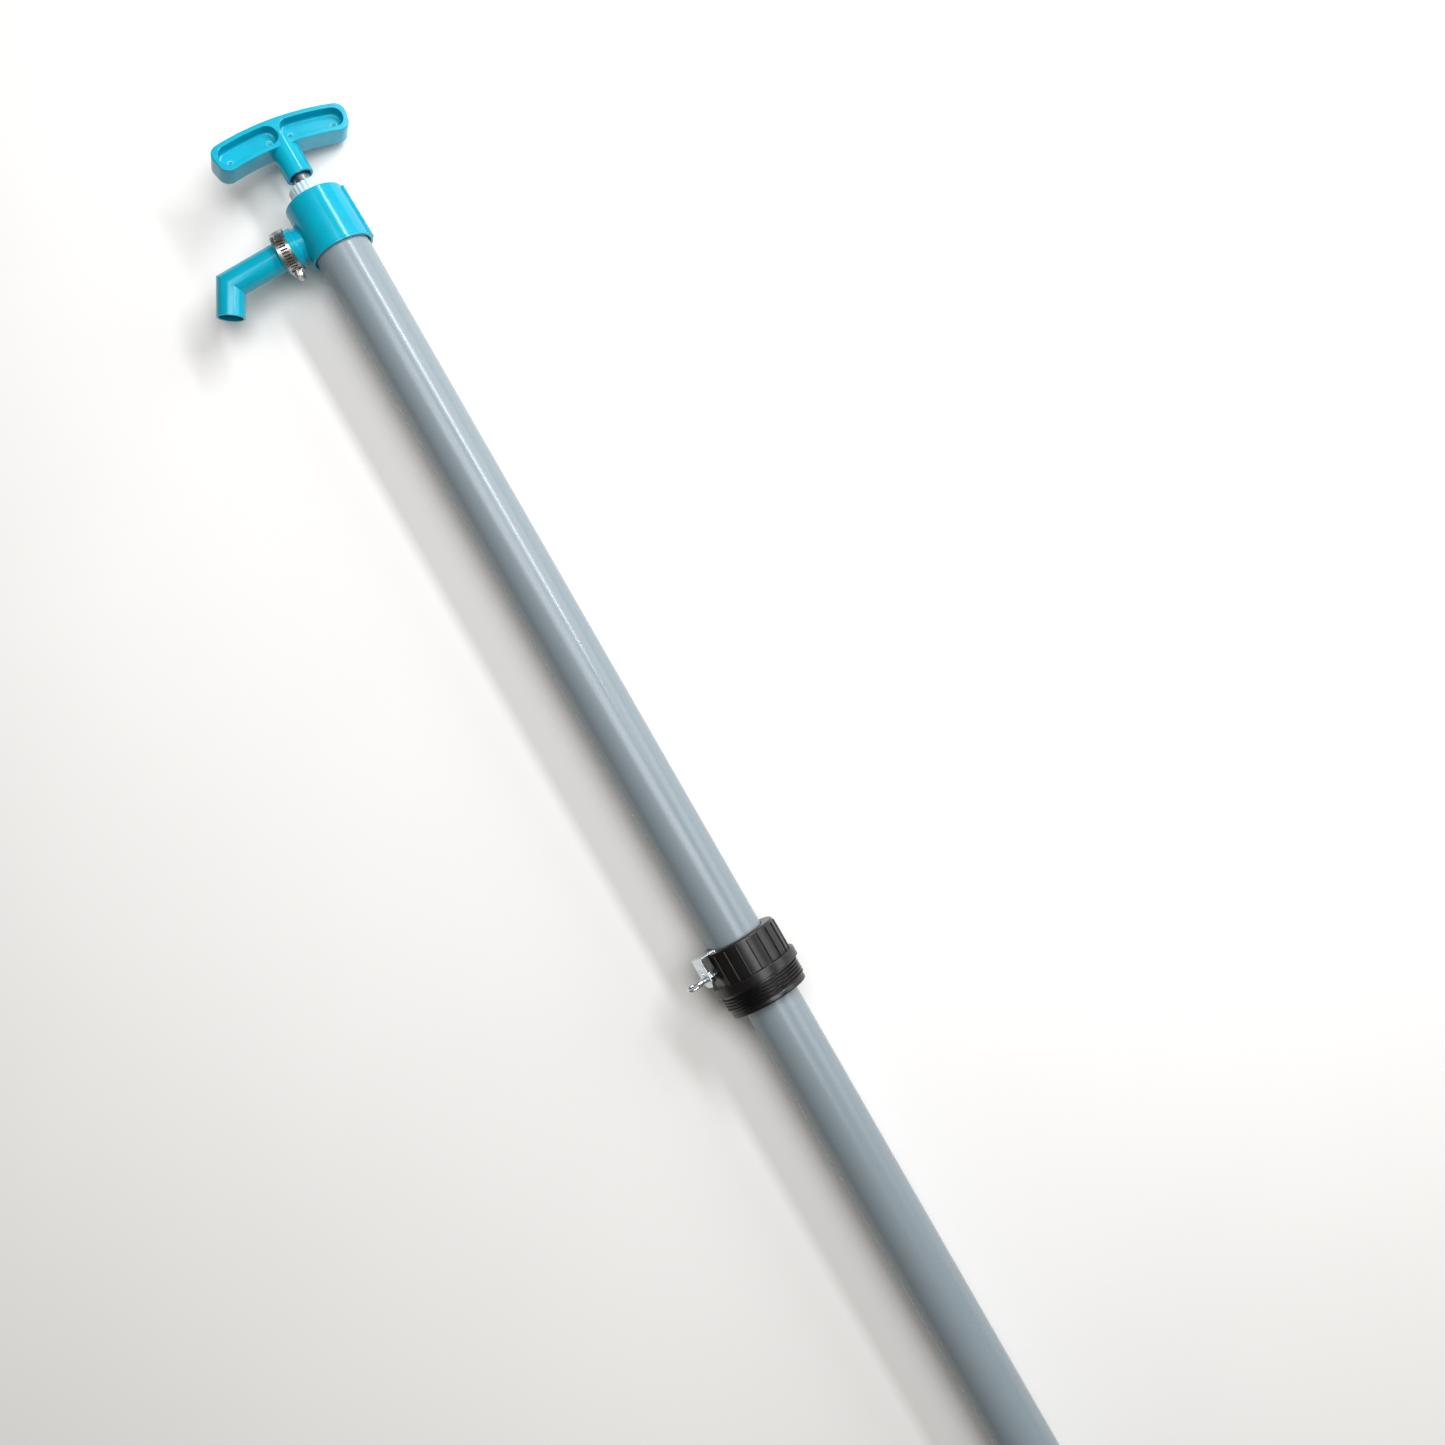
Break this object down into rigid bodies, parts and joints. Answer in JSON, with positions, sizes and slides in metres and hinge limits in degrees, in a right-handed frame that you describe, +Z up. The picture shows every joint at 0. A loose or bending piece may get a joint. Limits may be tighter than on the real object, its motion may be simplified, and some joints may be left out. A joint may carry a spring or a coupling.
{
  "type": "hand drum pump",
  "caption": "Hand lift pump for drums: suction tube with foot valve, sliding threaded bung adapter with lock screw, T-handle plunger and bent spout on a worm-drive clamp.",
  "frame": {"origin": "centre of the bounding box's underside, with the pump lying on its side on the adapter's shoulder and its spout level", "axes": "+X along the suction tube from the foot valve to the T-handle, +Y the side the outlet and spout point to, +Z up"},
  "size_m": [1.1924, 0.1502, 0.0638],
  "materials": {
    "tube_grey": "satin extruded PVC",
    "teal_plastic": "satin-gloss moulded polypropylene",
    "white_plastic": "natural polypropylene, slightly milky",
    "black_plastic": "satin moulded polypropylene",
    "rubber": "matte nitrile rubber",
    "zinc": "bright zinc-plated steel",
    "stainless": "bright stainless steel",
    "rod_metal": "satin drawn aluminium"
  },
  "bodies": {
    "barrel": {"tube": "tube_grey", "top_cap": "teal_plastic", "gland_nut": "white_plastic", "rod_seal": "rubber", "gland_washer": "stainless", "foot_body": "black_plastic", "foot_gasket": "rubber", "ball_cage": "white_plastic"},
    "foot_ball": {"foot_ball": "stainless"},
    "piston": {"piston_body": "white_plastic", "piston_seal": "rubber"},
    "piston_flap": {"piston_flap": "rubber"},
    "plunger": {"pump_rod": "rod_metal", "t_handle": "teal_plastic", "piston_nut": "stainless", "flap_retainer": "stainless", "rod_stop": "stainless"},
    "adapter_ring": {"adapter_ring": "rubber"},
    "adapter": {"bung_adapter": "black_plastic", "clamp_strap": "zinc", "strap_nut": "zinc"},
    "pressure_pad": {"pressure_pad": "black_plastic"},
    "lock_screw": {"lock_screw": "zinc"},
    "spout": {"spout": "teal_plastic", "clamp_band": "stainless", "clamp_housing": "stainless"},
    "clamp_worm": {"clamp_worm": "stainless"}
  },
  "joints": [
    {"name": "piston_slide", "type": "slide", "parent": "barrel", "child": "piston", "axis": [1, 0, 0], "range_m": [-0.0072, 0.35]},
    {"name": "flap_lift", "type": "slide", "parent": "piston", "child": "piston_flap", "axis": [1, 0, 0], "range_m": [0, 0.0034]},
    {"name": "handle_turn", "type": "hinge", "parent": "piston", "child": "plunger", "pos_m": [0.55441, -0.02436, 0.0319], "axis": [1, 0, 0], "continuous": true},
    {"name": "foot_ball_lift", "type": "slide", "parent": "barrel", "child": "foot_ball", "axis": [1, 0, 0], "range_m": [0, 0.0045]},
    {"name": "adapter_slide", "type": "slide", "parent": "barrel", "child": "adapter_ring", "axis": [1, 0, 0], "range_m": [-0.4446, 0.5453]},
    {"name": "adapter_turn", "type": "hinge", "parent": "adapter_ring", "child": "adapter", "pos_m": [-0.05549, -0.02436, 0.0319], "axis": [1, 0, 0], "continuous": true},
    {"name": "pad_lift", "type": "slide", "parent": "adapter", "child": "pressure_pad", "axis": [0, 0.9135, 0.4067], "range_m": [0, 0.0021]},
    {"name": "lock_turn", "type": "hinge", "parent": "pressure_pad", "child": "lock_screw", "pos_m": [-0.06969, 0.00716, 0.04593], "axis": [0, 0.9135, 0.4067], "range_deg": [0, 900]},
    {"name": "spout_turn", "type": "hinge", "parent": "barrel", "child": "spout", "pos_m": [0.51311, 0.00514, 0.0319], "axis": [0, 1, 0], "continuous": true},
    {"name": "worm_turn", "type": "hinge", "parent": "spout", "child": "clamp_worm", "pos_m": [0.49471, 0.00944, 0.0319], "axis": [0, 0, 1], "continuous": true}
  ],
  "couplings": [
    {"joint": "pad_lift", "follows": "lock_turn", "m_per_rad": 0.00012732}
  ]
}
